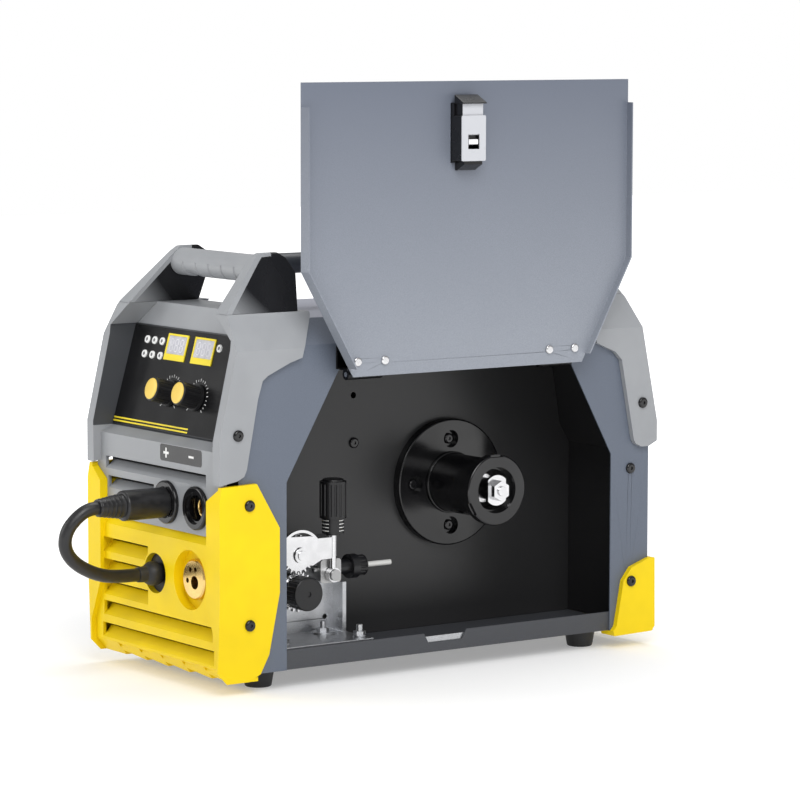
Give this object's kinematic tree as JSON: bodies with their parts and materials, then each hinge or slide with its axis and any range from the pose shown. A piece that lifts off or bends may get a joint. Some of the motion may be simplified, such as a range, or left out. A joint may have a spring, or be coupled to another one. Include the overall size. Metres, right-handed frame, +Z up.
{
  "type": "wire feeder",
  "caption": "Portable gas-shielded arc welding machine with a built-in wire feeder, shown with its side door swung open over the spool hub and the roll drive.",
  "frame": {"origin": "on the floor plane under the feet, at the middle of the width and length of the whole machine with its door open, the free polarity lead and its plug left out", "axes": "+Z up; +Y from the control panel towards the rear panel; +X out of the door side"},
  "size_m": [0.2383, 0.5383, 0.4828],
  "materials": {
    "casing_paint": "fine textured powder coat",
    "pan_paint": "fine textured powder coat",
    "inner_paint": "matt black powder coat",
    "grey_plastic": "satin moulded",
    "yellow_plastic": "satin moulded",
    "black_plastic": "satin moulded",
    "panel_black": "gloss printed film",
    "black_gloss": "gloss",
    "display_glass": "clear",
    "lens": "gloss",
    "rubber": "matt",
    "zinc": "zinc plated",
    "bright_steel": "bright",
    "black_steel": "black oxide",
    "brass": "machined",
    "aluminium": "satin",
    "board": "circuit board",
    "iron": "laminated"
  },
  "bodies": {
    "chassis": {"base_pan": "pan_paint", "latch_strike": "zinc", "casing_cover": "casing_paint", "rubber_feet": "rubber", "front_bulkhead": "inner_paint", "rear_panel": "inner_paint", "partition_wall": "inner_paint", "front_fascia": "grey_plastic", "lower_fascia": "yellow_plastic", "rear_fascia": "grey_plastic", "rear_bumper": "yellow_plastic", "front_handle": "grey_plastic", "front_handle_back": "black_plastic", "rear_handle": "grey_plastic", "handle_tube": "pan_paint", "control_panel": "panel_black", "display_frames": "yellow_plastic", "display_windows": "display_glass", "indicator_lenses": "lens", "control_board": "board", "positive_socket": "black_gloss", "negative_socket": "black_gloss", "euro_connector": "brass", "lead_grommet": "rubber", "polarity_lead": "rubber", "polarity_plug": "black_plastic", "hinge_case_leaves": "black_steel", "hinge_pins": "zinc", "feeder_bracket": "zinc", "feed_motor": "zinc", "wire_inlet_guide": "black_plastic", "feeder_bolts": "zinc", "hub_base": "black_plastic", "hub_axle": "bright_steel", "case_screws": "black_steel", "main_board": "board", "heat_sinks": "aluminium", "transformer": "iron", "capacitors": "black_gloss", "fan_frame": "black_plastic", "mains_switch": "black_plastic", "mains_gland": "black_plastic", "gas_valve": "brass"},
    "door": {"door_panel": "casing_paint", "door_screws": "zinc", "hinge_door_leaves": "black_steel", "latch_housing": "black_plastic"},
    "latch_bolt_body": {"latch_bolt": "black_plastic"},
    "voltage_knob_body": {"voltage_knob": "black_plastic"},
    "current_knob_body": {"current_knob": "black_plastic"},
    "rocker": {"switch_rocker": "black_gloss"},
    "drive_roll_body": {"drive_roll": "bright_steel", "drive_knob": "black_plastic"},
    "pressure_arm_body": {"pressure_arm": "zinc"},
    "pressure_roller_body": {"pressure_roller": "bright_steel"},
    "tension_rod_body": {"tension_rod": "bright_steel"},
    "tension_knob_body": {"tension_knob": "black_plastic"},
    "hub_barrel_body": {"hub_barrel": "black_plastic"},
    "hub_lock_body": {"hub_lock_ring": "black_plastic"},
    "fan": {"fan_rotor": "black_plastic"}
  },
  "joints": [
    {"name": "door_hinge", "type": "hinge", "parent": "chassis", "child": "door", "pos_m": [0.0915, 0.008, 0.2508], "axis": [0, 1, 0], "range_deg": [0, 180]},
    {"name": "latch_slide", "type": "slide", "parent": "door", "child": "latch_bolt_body", "axis": [0, 0, -1], "range_m": [-0.002, 0.0035], "stiffness_N_per_m": 250},
    {"name": "voltage_turn", "type": "hinge", "parent": "chassis", "child": "voltage_knob_body", "pos_m": [-0.029, -0.18977, 0.23003], "axis": [0, -0.9619, 0.2733], "range_deg": [-135, 135]},
    {"name": "current_turn", "type": "hinge", "parent": "chassis", "child": "current_knob_body", "pos_m": [0.0117, -0.18977, 0.23003], "axis": [0, -0.9619, 0.2733], "range_deg": [-135, 135]},
    {"name": "rocker_tip", "type": "hinge", "parent": "chassis", "child": "rocker", "pos_m": [-0.077, 0.207, 0.151], "axis": [1, 0, 0], "range_deg": [0, 14]},
    {"name": "drive_spin", "type": "hinge", "parent": "chassis", "child": "drive_roll_body", "pos_m": [0.035, -0.116, 0.0708], "axis": [1, 0, 0], "continuous": true},
    {"name": "arm_lift", "type": "hinge", "parent": "chassis", "child": "pressure_arm_body", "pos_m": [0.035, -0.144, 0.1012], "axis": [1, 0, 0], "range_deg": [0, 1]},
    {"name": "pressure_spin", "type": "hinge", "parent": "pressure_arm_body", "child": "pressure_roller_body", "pos_m": [0.035, -0.116, 0.1012], "axis": [1, 0, 0], "continuous": true},
    {"name": "tension_swing", "type": "hinge", "parent": "chassis", "child": "tension_rod_body", "pos_m": [0.044, -0.082, 0.082], "axis": [1, 0, 0], "range_deg": [-50, 0]},
    {"name": "tension_turn", "type": "hinge", "parent": "tension_rod_body", "child": "tension_knob_body", "pos_m": [0.044, -0.082, 0.13], "axis": [0, 0, 1], "continuous": true},
    {"name": "hub_spin", "type": "hinge", "parent": "chassis", "child": "hub_barrel_body", "pos_m": [0.015, 0.075, 0.1408], "axis": [1, 0, 0], "continuous": true},
    {"name": "hub_lock_turn", "type": "hinge", "parent": "hub_barrel_body", "child": "hub_lock_body", "pos_m": [0.051, 0.075, 0.1408], "axis": [1, 0, 0], "range_deg": [0, 60]},
    {"name": "fan_spin", "type": "hinge", "parent": "chassis", "child": "fan", "pos_m": [-0.063, 0.192, 0.096], "axis": [0, 1, 0], "continuous": true}
  ],
  "couplings": [
    {"joint": "pressure_spin", "follows": "drive_spin", "ratio": -1}
  ]
}
